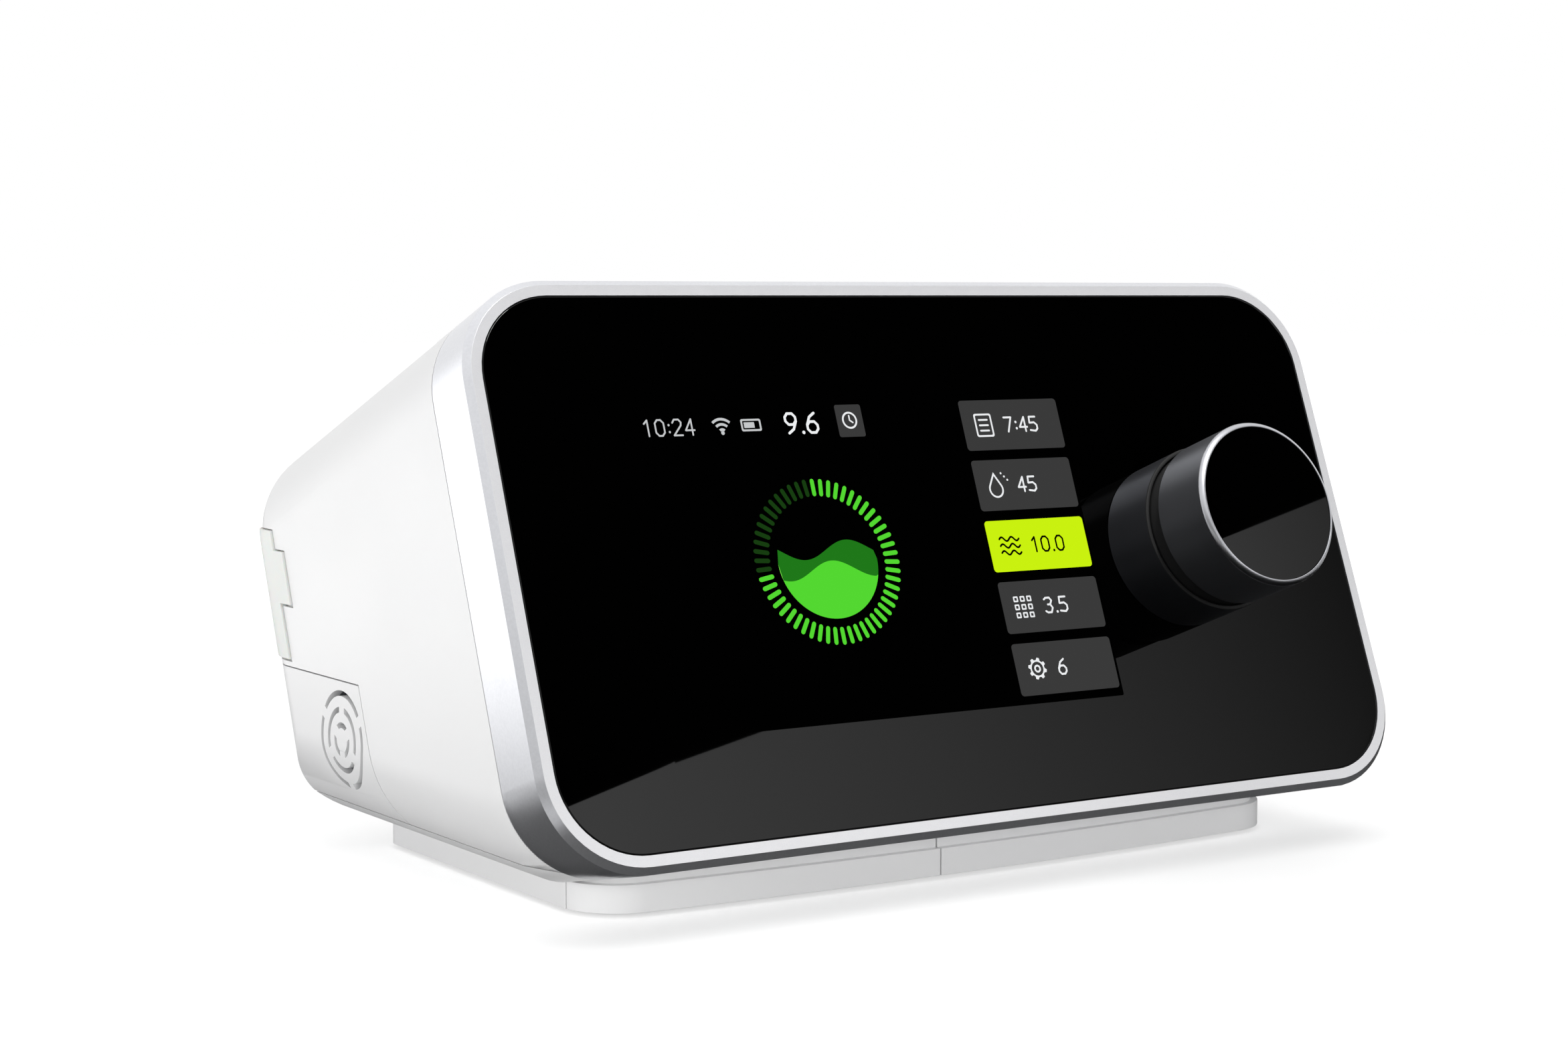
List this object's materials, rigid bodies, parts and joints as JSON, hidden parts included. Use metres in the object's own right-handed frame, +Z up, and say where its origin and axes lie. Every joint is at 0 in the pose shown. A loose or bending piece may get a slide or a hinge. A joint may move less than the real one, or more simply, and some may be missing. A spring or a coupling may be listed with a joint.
{
  "type": "breathing air machine",
  "caption": "Bedside breathing-air machine: tilted glass display with rotary push knob, white housing, low base, side air inlet and rear hose outlet.",
  "frame": {"origin": "on the floor under the middle of the overall box, knob and hose spigot included", "axes": "+X to the right seen from the front, +Y from the display to the back, +Z up"},
  "size_m": [0.2178, 0.1837, 0.1237],
  "materials": {
    "bezel_silver": "satin",
    "front_glass": "gloss",
    "gasket_foam": "matte",
    "display_cell": "gloss",
    "display_tray": "satin",
    "carrier": "matte",
    "screw_steel": "satin",
    "circuit_board": "satin",
    "chips": "matte",
    "encoder_metal": "satin",
    "plunger": "satin",
    "shaft_steel": "polished",
    "knob_collar": "satin",
    "knob_core": "matte",
    "knob_metal": "satin, dark anodised",
    "knob_cap": "high gloss",
    "housing_white": "satin",
    "chassis_white": "satin",
    "base_white": "satin",
    "foot_rubber": "matte",
    "cover_white": "satin",
    "filter_fleece": "matte",
    "inner_white": "matte",
    "flap_rubber": "satin, slightly translucent",
    "reader": "matte",
    "socket_black": "satin",
    "contact_brass": "polished",
    "blower_plastic": "satin",
    "fan_plastic": "satin",
    "magnet": "satin",
    "winding": "enamelled",
    "motor_steel": "satin",
    "bearing_steel": "polished",
    "mount_rubber": "matte",
    "foam_grey": "open foam",
    "outlet_white": "satin",
    "heater_metal": "satin",
    "heater_pad": "matte",
    "seal_rubber": "matte",
    "tank_clear": "clear, smoke-free",
    "cable_grey": "matte"
  },
  "bodies": {
    "body": {"front_bezel": "bezel_silver", "front_glass": "front_glass", "display_gasket": "gasket_foam", "lcd_panel": "display_cell", "lcd_tray": "display_tray", "front_carrier": "carrier", "carrier_screws": "screw_steel", "control_board": "circuit_board", "control_parts": "chips", "encoder_body": "encoder_metal", "encoder_nut": "screw_steel", "knob_collar": "knob_collar", "main_housing": "housing_white", "bottom_chassis": "chassis_white", "base_plate": "base_white", "base_corner": "base_white", "rubber_feet": "foot_rubber", "chassis_screws": "screw_steel", "air_filter": "filter_fleece", "filter_frame": "inner_white", "card_reader": "reader", "power_socket": "socket_black", "power_pin": "contact_brass", "blower_scroll": "blower_plastic", "blower_cover": "blower_plastic", "motor_stator": "winding", "motor_can": "motor_steel", "motor_bearings": "bearing_steel", "blower_mounts": "mount_rubber", "inlet_foam": "foam_grey", "blower_duct": "mount_rubber", "flow_sensor": "chips", "outlet_elbow": "mount_rubber", "air_outlet": "outlet_white", "tank_bay": "inner_white", "heater_plate": "heater_metal", "heater_pad": "heater_pad", "duct_seals": "seal_rubber", "main_board": "circuit_board", "board_parts": "chips", "ribbon_cable": "cable_grey"},
    "plunger": {"encoder_plunger": "plunger"},
    "knob": {"knob_core": "knob_core", "knob_ring": "knob_metal", "knob_cap": "knob_cap", "encoder_shaft": "shaft_steel"},
    "fan": {"impeller": "fan_plastic", "motor_shaft": "shaft_steel", "rotor_magnet": "magnet"},
    "filter_cover": {"filter_cover": "cover_white"},
    "port_flap": {"port_flap": "flap_rubber"},
    "tank": {"water_tank": "tank_clear", "tank_base": "heater_metal", "tank_seal": "seal_rubber", "tank_lid": "tank_clear"}
  },
  "joints": [
    {"name": "knob_push", "type": "slide", "parent": "body", "child": "plunger", "axis": [0, 0.9351, -0.3543], "range_m": [0, 0.0008], "stiffness_N_per_m": 3000, "springref_m": -0.001},
    {"name": "knob_turn", "type": "hinge", "parent": "plunger", "child": "knob", "pos_m": [0.0564, -0.05592, 0.06617], "axis": [0, -0.9351, 0.3543], "continuous": true},
    {"name": "fan_spin", "type": "hinge", "parent": "body", "child": "fan", "pos_m": [-0.05, 0.015, 0.06], "axis": [0, 0, 1], "continuous": true},
    {"name": "filter_cover_pull", "type": "slide", "parent": "body", "child": "filter_cover", "axis": [-1, 0, 0], "range_m": [0, 0.015]},
    {"name": "port_flap_open", "type": "hinge", "parent": "body", "child": "port_flap", "pos_m": [-0.08, 0.06687, 0.0555], "axis": [0, -0.3543, -0.9351], "range_deg": [0, 95]},
    {"name": "tank_slide", "type": "slide", "parent": "body", "child": "tank", "axis": [1, 0, 0], "range_m": [0, 0.1]}
  ]
}
